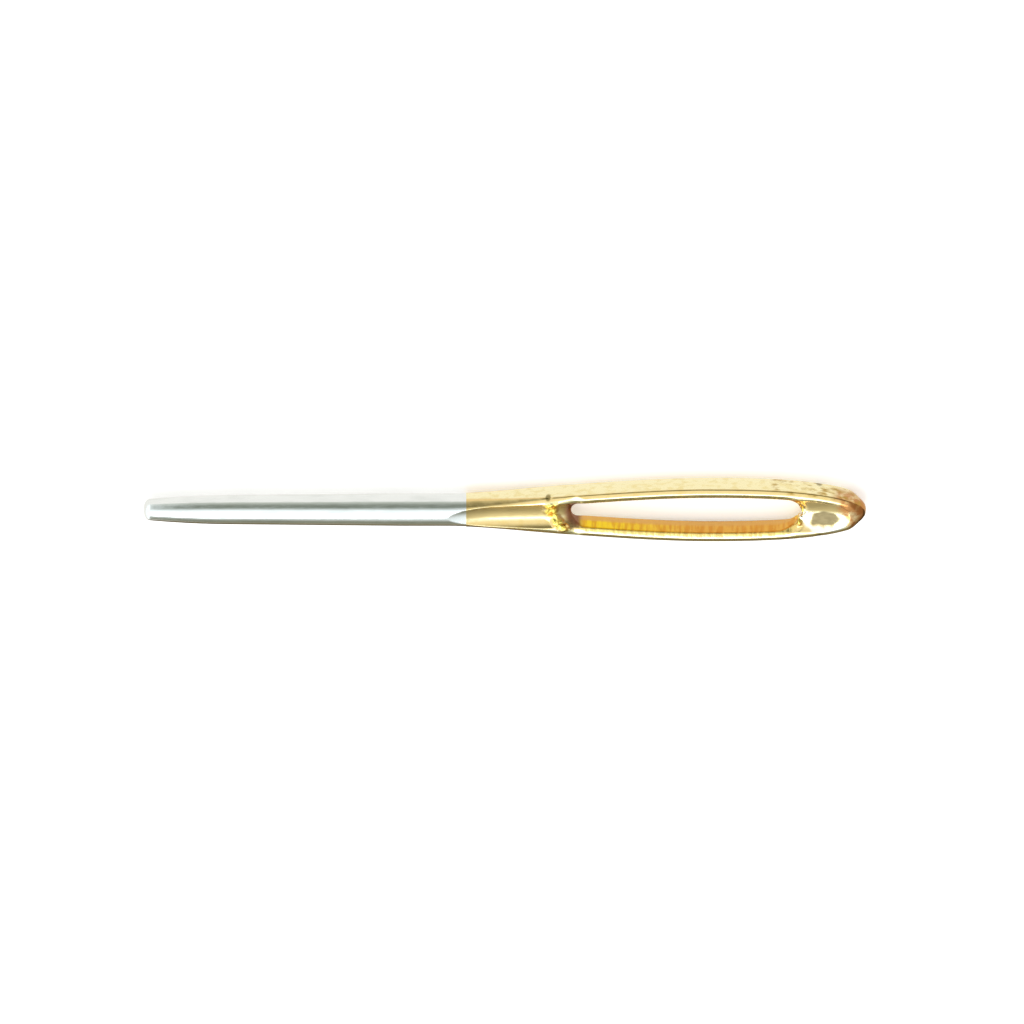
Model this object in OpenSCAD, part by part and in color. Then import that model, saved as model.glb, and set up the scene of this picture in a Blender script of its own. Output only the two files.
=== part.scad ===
// Yarn needle with a blunt tip and a long eye. It lies flat, with its axis along X,
// its tip at -X, its crown at +X, and the origin on the axis at the middle of its length.
// The blank is one piece of steel wire with a pressed head. Nickel covers all of it,
// and gold covers the nickel on the head.

/* [Shaft] */
// Length of the round shaft, from the tip to where the head starts to flatten
shaft_l = 25.3; // [20:0.1:40]
// Diameter of the grip, the straight thick end of the shaft, over the nickel
shaft_d = 2.72; // [2.5:0.02:3]
// Length of the grip
grip_l = 4; // [3:0.5:8]
// Diameter that the shaft's taper would have at the tip if it had no point
taper_d = 2.32; // [2.1:0.02:2.5]
// Length of the point, where the shaft draws in to the tip
point_l = 7; // [4:0.5:12]
// Diameter of the blunt tip, over the nickel
tip_d = 1.7; // [1.2:0.05:2]
// Length over which the tip rounds off
tip_round_l = 0.6; // [0.4:0.05:1]
// How blunt the tip is, where 2 is an ellipse
tip_fullness = 2.5; // [2:0.1:3]

/* [Head] */
// Length of the shoulder, from where the flattening starts to the eye
shoulder_l = 10.2; // [8:0.1:14]
// Width of the head at its widest place, over the gold
head_w = 5.18; // [4.8:0.02:6]
// Thickness of the flattened head, over the gold
head_t = 2.2; // [2:0.05:2.5]
// Distance from the start of the eye to the widest place of the head
widest_at = 11.6; // [8:0.1:13]
// How full the crown is in plan, where 2 is an ellipse
crown_fullness = 2.4; // [2:0.1:3]
// Length over which the crown rounds off in thickness
crown_round_l = 1.5; // [1:0.1:2]
// Radius of the outer edges of the head
edge_r = 0.3; // [0.2:0.02:0.4]

/* [Eye] */
// Length of the eye
eye_l = 19.1; // [16:0.1:24]
// Length of solid metal from the eye to the end of the crown
crown_l = 5.4; // [4.8:0.1:7]
// Width of the rail on each side of the eye
rail_w = 0.88; // [0.8:0.02:1.2]
// Length of the eye's round at the shoulder
eye_start_l = 1.2; // [0.8:0.1:2]
// Length of the eye's round at the crown
eye_end_l = 2; // [1:0.1:3]
// Radius of the eye's edges along the rails
eye_edge_r = 0.34; // [0.2:0.02:0.4]
// Height of the roll from each gutter into the eye
roll_h = 0.5; // [0.35:0.01:0.54]
// Length of the roll at the shoulder
start_roll_l = 1.4; // [0.6:0.1:2]
// Length of the roll at the crown
end_roll_l = 0.8; // [0.4:0.1:1.2]
// How full the rolls are in profile, where 2 is an ellipse and less is nearer a ramp
roll_fullness = 1.6; // [1.6:0.1:2]

/* [Gutters] */
// Radius of the gutters in section
gutter_r = 2.8; // [2.4:0.1:4]
// Depth of the gutters
gutter_d = 0.5; // [0.35:0.05:0.55]
// Length over which the shoulder's gutters deepen
gutter_run_l = 4; // [2:0.1:6]
// Length of the crown's gutters
crown_gutter_l = 4.1; // [2.6:0.1:4.2]

/* [Plating] */
// Thickness of the nickel
nickel_t = 0.05; // [0.04:0.01:0.07]
// Thickness of the gold
gold_t = 0.03; // [0.03:0.01:0.05]
// Length of the flattening that the gold leaves bare
bare_l = 1.5; // [0.8:0.1:2.5]

/* [Hidden] */

// Depths of the three surfaces below the outside of the gold
gold_surface = 0;
nickel_surface = gold_t;
steel_surface = gold_t + nickel_t;

// Places along the needle, from the tip
grip_x = shaft_l - grip_l;
gold_x = shaft_l + bare_l;
eye_x0 = shaft_l + shoulder_l;
eye_x1 = eye_x0 + eye_l;
length = eye_x1 + crown_l;
widest_x = eye_x0 + widest_at;
crown_round_x = length - crown_round_l;

// The head's form starts inside the end of the round shaft, which stands 0.01 proud of it
root_l = 0.5;
root_end_l = 0.02;
root_r = shaft_d / 2 + gold_t - 0.01;

// Rows of points across a quarter section and along the needle
TIP_STEPS = 8;
POINT_STEPS = 5;
CURVE_STEPS = [0, 0.2, 0.56, 1];
CORNER_STEPS = 5;
FLAT_START = 0.35;
BARE_STEPS = 3;
SHOULDER_STEPS = 6;
ROLL_STEPS = 3;
ROUND_STEPS = 5;
RAIL_STEPS = 7;
CROWN_STEPS = 8;
CROWN_TURN = 87;
RIDGE_STEPS = 9;
SHARPEST = 0.01;

function clamped(t) = min(max(t, 0), 1);
function smooth(t) = let (c = clamped(t)) c * c * (3 - 2 * c);
function leg(hypotenuse, side) = sqrt(max(hypotenuse ^ 2 - side ^ 2, 0));

// Half the head's width at x, on the surface that lies at the depth given
function half_w(x, depth) =
    x <= widest_x
    ? root_r - depth + (head_w / 2 - root_r) * smooth((x - shaft_l) / (widest_x - shaft_l))
    : (head_w / 2 - depth)
        * (1 - clamped((x - widest_x) / (length - depth - widest_x)) ^ crown_fullness)
        ^ (1 / crown_fullness);

// Half the head's thickness at x
function half_t(x, depth) =
    (root_r + (head_t / 2 - root_r) * smooth((x - shaft_l) / shoulder_l) - depth)
    * leg(1, clamped((x - crown_round_x) / (length - depth - crown_round_x)));

// Radius of the outer edge at x: round like the shaft at first, and round again at the crown
function corner_r(x, depth) =
    let (
        full = half_t(x, depth),
        squareness = smooth((x - shaft_l) / shoulder_l)
            * (1 - smooth((x - crown_round_x) / crown_round_l))
    )
    max(min(full + (edge_r - depth - full) * squareness, full, half_w(x, depth)), SHARPEST);

// Depth of the gutter below the face at x
function gutter_depth(x) =
    gutter_d * (
        x < eye_x1
        ? 1 - (1 - clamped((x - shaft_l) / gutter_run_l)) ^ 2
        : 1 - clamped((x - eye_x1) / crown_gutter_l) ^ 2
    );

// At x, the length of the nearer of the eye's rounds, and how far x lies into it
function round_l(x) = x < widest_x ? eye_start_l : eye_end_l;
function into_round(x) = max(eye_x0 + eye_start_l - x, x - (eye_x1 - eye_end_l), 0);

// Half the eye's width at x where only the rails bound it
function between_rails(x, depth) = max(half_w(x, 0) - rail_w, edge_r) + depth;

// Half the eye's width at x, which is 0 outside the eye
function eye_half_w(x, depth) =
    between_rails(x, depth) * leg(1, clamped(into_round(x) / (round_l(x) + depth)));

// Distance in plan from a point to the eye
function from_eye(x, y, depth) =
    let (
        into = into_round(x),
        ratio = norm([into / (round_l(x) + depth), y / between_rails(x, depth)])
    )
    norm([into, y]) * (1 - 1 / max(ratio, 1));

// How far the eye's round edge drops the face at a point
function edge_drop(x, y, depth) =
    let (
        turn = smooth(into_round(x) / round_l(x)),
        roll_l = x < widest_x ? start_roll_l : end_roll_l,
        h = eye_edge_r + (roll_h - eye_edge_r) * turn - depth,
        l = eye_edge_r + (roll_l - eye_edge_r) * turn - depth,
        fullness = 2 + (roll_fullness - 2) * turn,
        into = clamped(1 - from_eye(x, y, depth) / l)
    )
    h - h * (1 - into ^ fullness) ^ (1 / fullness);

// Height of the face with its rounded outer edge, as if there were no gutter
function face_z(x, y, depth) =
    let (r = corner_r(x, depth), into = clamped((y - half_w(x, depth) + r) / r))
    half_t(x, depth) - r + leg(r, into * r);

// Height of the gutter's round bottom
function gutter_z(x, y, depth) =
    half_t(x, 0) - gutter_depth(x) + gutter_r - leg(gutter_r + depth, y);

// Distance from the axis to the ridge where the gutter meets the face, by halving low to high
function ridge_y(x, depth, low, high, steps) =
    let (middle = (low + high) / 2)
    steps == 0 ? middle
    : gutter_z(x, middle, depth) < face_z(x, middle, depth)
    ? ridge_y(x, depth, middle, high, steps - 1)
    : ridge_y(x, depth, low, middle, steps - 1);

// Height of the upper surface above the axis at a point
function top_z(x, y, depth) =
    min(face_z(x, y, depth), gutter_z(x, y, depth)) - edge_drop(x, y, depth);

// A quarter section at x as [y, z] points, from the eye or the middle to the outer wall
function quarter(x, depth) =
    let (
        inner = eye_half_w(x, depth),
        outer = half_w(x, depth),
        ridge = ridge_y(x, depth, 0, outer, RIDGE_STEPS),
        flat = min(
            max(ridge, inner + eye_edge_r, FLAT_START * outer),
            outer - CORNER_STEPS * SHARPEST
        ),
        ys = concat(
            [for (s = CURVE_STEPS) inner + (flat - inner) * s],
            [for (i = [1:CORNER_STEPS]) flat + (outer - flat) * sin(90 * i / CORNER_STEPS)]
        )
    )
    [for (y = ys) [y, top_z(x, y, depth)]];

// Places of the sections along the head
function stations(depth) =
    let (
        roll_x0 = eye_x0 - start_roll_l,
        roll_x1 = eye_x1 + end_roll_l,
        round_x0 = eye_x0 + eye_start_l,
        round_x1 = eye_x1 - eye_end_l,
        end_l = length - depth - roll_x1
    )
    concat(
        [shaft_l - root_l, shaft_l + root_end_l],
        [for (i = [1:BARE_STEPS]) shaft_l + bare_l * i / BARE_STEPS],
        [for (i = [1:SHOULDER_STEPS]) gold_x + (roll_x0 - gold_x) * i / SHOULDER_STEPS],
        [for (i = [1:ROLL_STEPS]) roll_x0 + (start_roll_l - depth) * sin(90 * i / ROLL_STEPS)],
        [for (i = [1:ROUND_STEPS]) round_x0 - (eye_start_l + depth) * cos(90 * i / ROUND_STEPS)],
        [for (i = [1:RAIL_STEPS]) round_x0 + (round_x1 - round_x0) * i / RAIL_STEPS],
        [for (i = [1:ROUND_STEPS]) round_x1 + (eye_end_l + depth) * sin(90 * i / ROUND_STEPS)],
        [for (i = [1:ROLL_STEPS]) roll_x1 - (end_roll_l - depth) * cos(90 * i / ROLL_STEPS)],
        [for (i = [1:CROWN_STEPS]) roll_x1 + end_l * sin(CROWN_TURN * i / CROWN_STEPS)]
    );

// The section where the gold starts, and those between which the eye is open
GOLD_FIRST = BARE_STEPS + 1;
EYE_FIRST = GOLD_FIRST + SHOULDER_STEPS + ROLL_STEPS;
EYE_LAST = EYE_FIRST + 2 * ROUND_STEPS + RAIL_STEPS;
SECTIONS = EYE_LAST + ROLL_STEPS + CROWN_STEPS + 1;
HALF = 2 * (len(CURVE_STEPS) + CORNER_STEPS);
RING = 2 * HALF;

// Both halves of a section as a ring: the +Y half first, then its mirror image
function ring(x, depth) =
    let (
        q = quarter(x, depth),
        n = len(q),
        half = concat(q, [for (i = [1:n]) [q[n - i][0], -q[n - i][1]]])
    )
    [for (side = [1, -1]) for (p = half) [x, side * p[0], p[1]]];

// Points of one surface of the head, from the section given to the end of the crown
function surface_points(depth, first) =
    let (xs = stations(depth))
    concat(
        [for (k = [first:SECTIONS - 1]) each ring(xs[k], depth)],
        [[length - depth, 0, 0]]
    );

// Index of a section's point. The halves share their middle points unless the eye parts them.
function at(k, side, i) =
    let (parted = k > EYE_FIRST && k < EYE_LAST, middle = i == 0 || i == HALF - 1)
    k * RING + (middle && !parted ? 0 : side * HALF) + i;

// Two triangles over four points, turned over if asked
function quad(a, b, c, d, over) =
    over ? [[a, c, b], [a, d, c]] : [[a, b, c], [a, c, d]];

// Faces of one surface, open at its first section, with its points numbered from the start given
function surface_faces(first, inward, start) =
    let (last = SECTIONS - 1, from = start - first * RING, pole = from + SECTIONS * RING)
    concat(
        [for (k = [first:last - 1]) for (side = [0, 1]) for (i = [0:HALF - 1])
            let (j = (i + 1) % HALF, eye_wall = k >= EYE_FIRST && k < EYE_LAST)
            if (i < HALF - 1 || eye_wall)
                each quad(
                    from + at(k, side, i), from + at(k + 1, side, i),
                    from + at(k + 1, side, j), from + at(k, side, j),
                    inward == (side == 1)
                )],
        [for (side = [0, 1]) for (i = [0:HALF - 2])
            let (a = from + at(last, side, i), b = from + at(last, side, i + 1))
            inward == (side == 1) ? [a, b, pole] : [a, pole, b]]
    );

// The head below one of its surfaces, closed at its first section
module head_form(depth) {
    root = concat(
        [for (i = [0:HALF - 1]) at(0, 1, i)],
        [for (i = [2:HALF - 1]) at(0, 0, HALF - i)]
    );
    polyhedron(surface_points(depth, 0), concat(surface_faces(0, false, 0), [root]));
}

// The skin between two surfaces of the head, with a rim that joins them at its first section
module head_skin(outside, inside, first) {
    inner = (SECTIONS - first) * RING + 1;
    rim = [for (side = [0, 1]) for (i = [0:HALF - 2])
        let (a = at(0, side, i), b = at(0, side, i + 1))
        each quad(a, b, inner + b, inner + a, side == 0)];
    polyhedron(
        concat(surface_points(outside, first), surface_points(inside, first)),
        concat(surface_faces(first, false, 0), surface_faces(first, true, inner), rim)
    );
}

// Radius of the shaft at x over the nickel, without the round of the tip
function shaft_r(x) =
    (
        taper_d + (shaft_d - taper_d) * clamped(x / grip_x)
        - (taper_d - tip_d) * (1 - clamped(x / point_l)) ^ 2
    ) / 2;

// The round shaft below one of its surfaces
module shaft_form(depth) {
    sunk = depth - gold_t;
    tip = [for (i = [0:TIP_STEPS])
        let (
            turn = 90 * i / TIP_STEPS,
            x = tip_round_l - (tip_round_l - sunk) * cos(turn) ^ (2 / tip_fullness)
        )
        [(shaft_r(x) - sunk) * sin(turn) ^ (2 / tip_fullness), x]];
    point = [for (i = [1:POINT_STEPS])
        let (x = tip_round_l + (point_l - tip_round_l) * i / POINT_STEPS)
        [shaft_r(x) - sunk, x]];
    end_x = shaft_l - sunk;
    grip = [for (x = [grip_x, end_x]) [shaft_r(x) - sunk, x]];
    rotate([0, 90, 0])
        rotate_extrude($fn = 60) polygon(concat(tip, point, grip, [[0, end_x]]));
}

// The whole needle below one of its surfaces
module needle_form(depth) {
    shaft_form(depth);
    head_form(depth);
}

// The pressed steel wire, which is whole from the tip to the crown
module steel_blank() {
    color("slategray") needle_form(steel_surface);
}

// The nickel that closes round the whole blank
module nickel_plating() {
    color("silver") difference() {
        needle_form(nickel_surface);
        needle_form(steel_surface);
    }
}

// The gold over the nickel, from its edge on the shoulder to the crown
module gold_plating() {
    color("goldenrod") head_skin(gold_surface, nickel_surface, GOLD_FIRST);
}

translate([-length / 2, 0, 0]) steel_blank();
translate([-length / 2, 0, 0]) nickel_plating();
translate([-length / 2, 0, 0]) gold_plating();
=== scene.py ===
"""Yarn needle: a nickel-plated steel shaft with a pressed, gold-plated head round a long eye.

The needle lies on white paper with its axis along X, the blunt tip at -X and the crown at +X.
The two coats are modelled here, and the steel blank inside them is the frame's own.
"""

import logging
import math
from dataclasses import dataclass, field
from enum import Enum
from typing import Iterable, Sequence

import bmesh
import bpy
from mathutils import Matrix, Vector, noise


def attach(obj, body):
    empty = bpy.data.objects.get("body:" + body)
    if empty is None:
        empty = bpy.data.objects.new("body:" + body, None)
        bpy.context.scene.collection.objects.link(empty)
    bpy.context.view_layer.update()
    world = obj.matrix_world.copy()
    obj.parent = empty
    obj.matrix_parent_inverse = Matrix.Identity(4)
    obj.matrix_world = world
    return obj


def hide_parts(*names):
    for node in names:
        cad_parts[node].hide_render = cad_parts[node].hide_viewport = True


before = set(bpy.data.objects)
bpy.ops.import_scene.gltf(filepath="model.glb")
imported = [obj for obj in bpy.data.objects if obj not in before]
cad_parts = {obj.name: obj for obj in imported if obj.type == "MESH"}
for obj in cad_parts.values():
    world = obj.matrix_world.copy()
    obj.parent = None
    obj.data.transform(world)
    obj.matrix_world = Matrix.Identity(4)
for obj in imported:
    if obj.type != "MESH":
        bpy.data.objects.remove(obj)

LOG = logging.getLogger("yarn_needle")
MM = 0.001
RIDGE_STEPS = 14

Colour = tuple[float, float, float]
Point = tuple[float, float, float]


def clamped(t: float) -> float:
    """Returns t held between 0 and 1."""
    return min(max(t, 0.0), 1.0)


def smooth(t: float) -> float:
    """Returns an S-shaped blend from 0 to 1."""
    c = clamped(t)
    return c * c * (3.0 - 2.0 * c)


def leg(hypotenuse: float, side: float) -> float:
    """Returns the other leg of a right triangle, or 0 where there is none."""
    return math.sqrt(max(hypotenuse**2 - side**2, 0.0))


def spread(low: float, high: float, count: int) -> list[float]:
    """Spaces values evenly.

    Args:
        low: The first value.
        high: The last value.
        count: How many steps lie between them.

    Returns:
        The values, with both ends.
    """
    return [low + (high - low) * i / count for i in range(count + 1)]


def linear(srgb: Colour) -> tuple[float, float, float, float]:
    """Turns a colour as it is seen into the linear values that a shader takes.

    Args:
        srgb: Red, green and blue from 0 to 255.

    Returns:
        Linear red, green, blue and alpha.
    """
    parts = [v / 255.0 for v in srgb]
    made = [p / 12.92 if p <= 0.04045 else ((p + 0.055) / 1.055) ** 2.4 for p in parts]
    return (made[0], made[1], made[2], 1.0)


class Coat(Enum):
    """The two metal coats, with their distance below the outside of the gold in millimetres."""

    GOLD = 0.0
    NICKEL = 0.03


@dataclass(frozen=True)
class NeedleForm:
    """The needle's outer form, in millimetres from the tip along the axis.

    The head is pressed from the round wire: the shoulder flattens and widens, gutters run into
    both ends of the eye, and the crown rounds off in plan and in thickness.
    """

    shaft_l: float = 25.3
    shaft_d: float = 2.72
    grip_l: float = 4.0
    taper_d: float = 2.32
    point_l: float = 7.0
    tip_d: float = 1.7
    tip_round_l: float = 0.6
    tip_fullness: float = 2.5
    shoulder_l: float = 10.2
    head_w: float = 5.18
    head_t: float = 2.2
    widest_at: float = 11.6
    crown_fullness: float = 2.4
    crown_round_l: float = 1.5
    edge_r: float = 0.3
    edge_w: float = 0.42
    eye_l: float = 19.1
    crown_l: float = 5.4
    rail_w: float = 0.88
    eye_start_l: float = 1.2
    eye_end_l: float = 2.0
    eye_edge_r: float = 0.27
    eye_edge_w: float = 0.46
    roll_h: float = 0.5
    start_roll_l: float = 1.4
    end_roll_l: float = 0.8
    roll_fullness: float = 1.6
    gutter_r: float = 1.65
    crown_gutter_r: float = 2.8
    gutter_d: float = 0.5
    gutter_run_l: float = 4.0
    crown_gutter_l: float = 4.1
    gold_t: float = 0.03
    bare_l: float = 1.5
    least_corner: float = 0.002
    slope_start_l: float = 2.0
    slope_share: float = 0.58
    slope_fullness: float = 1.2
    slope_l: float = 0.75
    ridge_wear: float = 0.035
    ridge_wear_l: float = 2.0

    @property
    def gold_x(self) -> float:
        """Place of the gold's edge."""
        return self.shaft_l + self.bare_l

    @property
    def eye_x0(self) -> float:
        """Place of the eye's end at the shoulder."""
        return self.shaft_l + self.shoulder_l

    @property
    def eye_x1(self) -> float:
        """Place of the eye's end at the crown."""
        return self.eye_x0 + self.eye_l

    @property
    def length(self) -> float:
        """Length over all."""
        return self.eye_x1 + self.crown_l

    @property
    def widest_x(self) -> float:
        """Place of the head's widest section."""
        return self.eye_x0 + self.widest_at

    @property
    def crown_round_x(self) -> float:
        """Place where the crown starts to round off in thickness."""
        return self.length - self.crown_round_l

    def shaft_r(self, x: float) -> float:
        """Radius of the round shaft over the nickel.

        Args:
            x: Place along the needle.

        Returns:
            The radius, rounded off at the tip.
        """
        body = self.taper_d + (self.shaft_d - self.taper_d) * clamped(
            x / (self.shaft_l - self.grip_l)
        )
        drawn = (self.taper_d - self.tip_d) * (1.0 - clamped(x / self.point_l)) ** 2
        into = clamped((self.tip_round_l - x) / self.tip_round_l)
        tip = (1.0 - into**self.tip_fullness) ** (1.0 / self.tip_fullness)
        return (body - drawn) / 2.0 * tip

    def half_w(self, x: float, depth: float) -> float:
        """Works out half the needle's width.

        Args:
            x: Place along the needle.
            depth: How far the surface lies below the outside of the gold.

        Returns:
            Half the width.
        """
        root = self.shaft_d / 2.0 + self.gold_t
        if x < self.shaft_l:
            return self.shaft_r(x) + self.gold_t - depth
        if x <= self.widest_x:
            blend = smooth((x - self.shaft_l) / (self.widest_x - self.shaft_l))
            return root - depth + (self.head_w / 2.0 - root) * blend
        into = clamped((x - self.widest_x) / (self.length - depth - self.widest_x))
        full = (1.0 - into**self.crown_fullness) ** (1.0 / self.crown_fullness)
        return (self.head_w / 2.0 - depth) * full

    def half_t(self, x: float, depth: float) -> float:
        """Works out half the needle's thickness.

        Args:
            x: Place along the needle.
            depth: How far the surface lies below the outside of the gold.

        Returns:
            Half the thickness.
        """
        root = self.shaft_d / 2.0 + self.gold_t
        if x < self.shaft_l:
            return self.shaft_r(x) + self.gold_t - depth
        flat = root + (self.head_t / 2.0 - root) * smooth((x - self.shaft_l) / self.shoulder_l)
        into = clamped((x - self.crown_round_x) / (self.length - depth - self.crown_round_x))
        return (flat - depth) * leg(1.0, into)

    def squareness(self, x: float, start: float) -> float:
        """How square the edges are: not at the start, fully on the head, and not at the crown.

        Args:
            x: Place along the needle.
            start: Where the edges start to turn square.

        Returns:
            The share from 0 to 1.
        """
        return smooth((x - start) / self.shoulder_l) * (
            1.0 - smooth((x - self.crown_round_x) / self.crown_round_l)
        )

    def corner_r(self, x: float, depth: float) -> float:
        """Works out the outer edge's height: like the shaft's radius, small, then large again.

        Args:
            x: Place along the needle.
            depth: How far the surface lies below the outside of the gold.

        Returns:
            The height of the edge's rounding.
        """
        full = self.half_t(x, depth)
        square = self.squareness(x, self.shaft_l)
        r = full + (self.edge_r - depth - full) * square
        return max(min(r, full, self.half_w(x, depth)), self.least_corner)

    def corner_w(self, x: float, depth: float) -> float:
        """Works out the outer edge's width, which on the head is more than its height.

        Args:
            x: Place along the needle.
            depth: How far the surface lies below the outside of the gold.

        Returns:
            The width of the edge's rounding.
        """
        square = smooth((x - self.shaft_l) / self.shoulder_l)
        wide = self.corner_r(x, depth) * (1.0 + (self.edge_w / self.edge_r - 1.0) * square)
        return min(wide, self.half_w(x, depth))

    def gutter_depth(self, x: float) -> float:
        """Works out the depth of the gutter's middle.

        Args:
            x: Place along the needle.

        Returns:
            The depth below the face.
        """
        if x < self.eye_x1:
            share = 1.0 - (1.0 - clamped((x - self.shaft_l) / self.gutter_run_l)) ** 2
        else:
            share = 1.0 - clamped((x - self.eye_x1) / self.crown_gutter_l) ** 2
        return self.gutter_d * share

    def round_l(self, x: float) -> float:
        """Length of the nearer of the eye's rounds."""
        return self.eye_start_l if x < self.widest_x else self.eye_end_l

    def into_round(self, x: float) -> float:
        """Works out how far a place lies into the nearer of the eye's rounds.

        Args:
            x: Place along the needle.

        Returns:
            The distance, which is 0 between the rounds.
        """
        start = self.eye_x0 + self.eye_start_l - x
        end = x - (self.eye_x1 - self.eye_end_l)
        return max(start, end, 0.0)

    def between_rails(self, x: float, depth: float) -> float:
        """Half the eye's width where only the rails bound it."""
        return max(self.half_w(x, 0.0) - self.rail_w, self.edge_r) + depth

    def eye_half_w(self, x: float, depth: float) -> float:
        """Half the eye's width at x, which is 0 outside the eye."""
        into = clamped(self.into_round(x) / (self.round_l(x) + depth))
        return self.between_rails(x, depth) * leg(1.0, into)

    def rail_drop(self, out: float) -> float:
        """Works out a rail's profile: a slope that starts softly, then a small round.

        Args:
            out: Share of the way from the rail's ridge to its edge.

        Returns:
            Share of the whole drop.
        """
        into = clamped((out - self.slope_l) / (1.0 - self.slope_l))
        slope = self.slope_share * out**self.slope_fullness
        return slope + (1.0 - self.slope_share) * (1.0 - leg(1.0, into))

    def turn(self, x: float) -> float:
        """How far the eye's rolled edge has turned from along the rail to across it."""
        return smooth(self.into_round(x) / self.round_l(x))

    def roll_size(self, x: float, depth: float) -> tuple[float, float]:
        """Works out the size of the eye's rolled edge.

        Args:
            x: Place along the needle.
            depth: How far the surface lies below the outside of the gold.

        Returns:
            The roll's height and its length.
        """
        turn = self.turn(x)
        roll_l = self.start_roll_l if x < self.widest_x else self.end_roll_l
        high = self.eye_edge_r + (self.roll_h - self.eye_edge_r) * turn - depth
        long = self.eye_edge_w + (roll_l - self.eye_edge_w) * turn - depth
        return high, long

    def edge_drop(self, x: float, y: float, depth: float) -> float:
        """Works out how far the eye's rolled edge drops the face.

        Args:
            x: Place along the needle.
            y: Distance from the axis.
            depth: How far the surface lies below the outside of the gold.

        Returns:
            The drop.
        """
        into = self.into_round(x)
        across = y / self.between_rails(x, depth)
        ratio = math.hypot(into / (self.round_l(x) + depth), across)
        away = math.hypot(into, y) * (1.0 - 1.0 / max(ratio, 1.0))
        high, long = self.roll_size(x, depth)
        out, full, turn = clamped(1.0 - away / long), self.roll_fullness, self.turn(x)
        rolled = 1.0 - (1.0 - out**full) ** (1.0 / full)
        return high * (rolled * turn + self.rail_drop(out) * (1.0 - turn))

    def face_z(self, x: float, y: float, depth: float) -> float:
        """Works out the face with its outer edge, as if there were no gutter.

        Args:
            x: Place along the needle.
            y: Distance from the axis.
            depth: How far the surface lies below the outside of the gold.

        Returns:
            The height above the axis.
        """
        r, wide = self.corner_r(x, depth), self.corner_w(x, depth)
        into = clamped((y - self.half_w(x, depth) + wide) / wide)
        square = self.squareness(x, self.shaft_l + self.slope_start_l)
        drop = (1.0 - leg(1.0, into)) * (1.0 - square) + self.rail_drop(into) * square
        return self.half_t(x, depth) - r * drop

    def gutter_z(self, x: float, y: float, depth: float) -> float:
        """Works out the gutter's round bottom.

        Args:
            x: Place along the needle.
            y: Distance from the axis.
            depth: How far the surface lies below the outside of the gold.

        Returns:
            The height above the axis.
        """
        middle = self.half_t(x, 0.0) - self.gutter_depth(x)
        r = self.gutter_r if x < self.widest_x else self.crown_gutter_r
        return middle + r - leg(r + depth, y)

    def top_z(self, x: float, y: float, depth: float) -> float:
        """Works out the upper surface, with the ridge beside the gutter worn a little round.

        Args:
            x: Place along the needle.
            y: Distance from the axis.
            depth: How far the surface lies below the outside of the gold.

        Returns:
            The height above the axis.
        """
        face, gutter = self.face_z(x, y, depth), self.gutter_z(x, y, depth)
        wear = self.ridge_wear * smooth((x - self.shaft_l) / self.ridge_wear_l)
        near = max(wear - abs(face - gutter), 0.0) / max(wear, 1e-6)
        return min(face, gutter) - near * near * wear / 4.0 - self.edge_drop(x, y, depth)

    def ridge_y(self, x: float, depth: float) -> float:
        """Searches for the ridge where the gutter meets the face, by halving.

        Args:
            x: Place along the needle.
            depth: How far the surface lies below the outside of the gold.

        Returns:
            The distance from the axis.
        """
        low, high = 0.0, self.half_w(x, depth)
        for _ in range(RIDGE_STEPS):
            middle = (low + high) / 2.0
            if self.gutter_z(x, middle, depth) < self.face_z(x, middle, depth):
                low = middle
            else:
                high = middle
        return (low + high) / 2.0


@dataclass(frozen=True)
class SectionRows:
    """How many rows of faces each part of a quarter section gets."""

    wall: int = 5
    roll: int = 8
    gutter: int = 9
    land: int = 2
    corner: int = 9

    @property
    def total(self) -> int:
        """All rows, from the eye's middle plane to the outer wall's."""
        return self.wall + self.roll + self.gutter + self.land + self.corner


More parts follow.
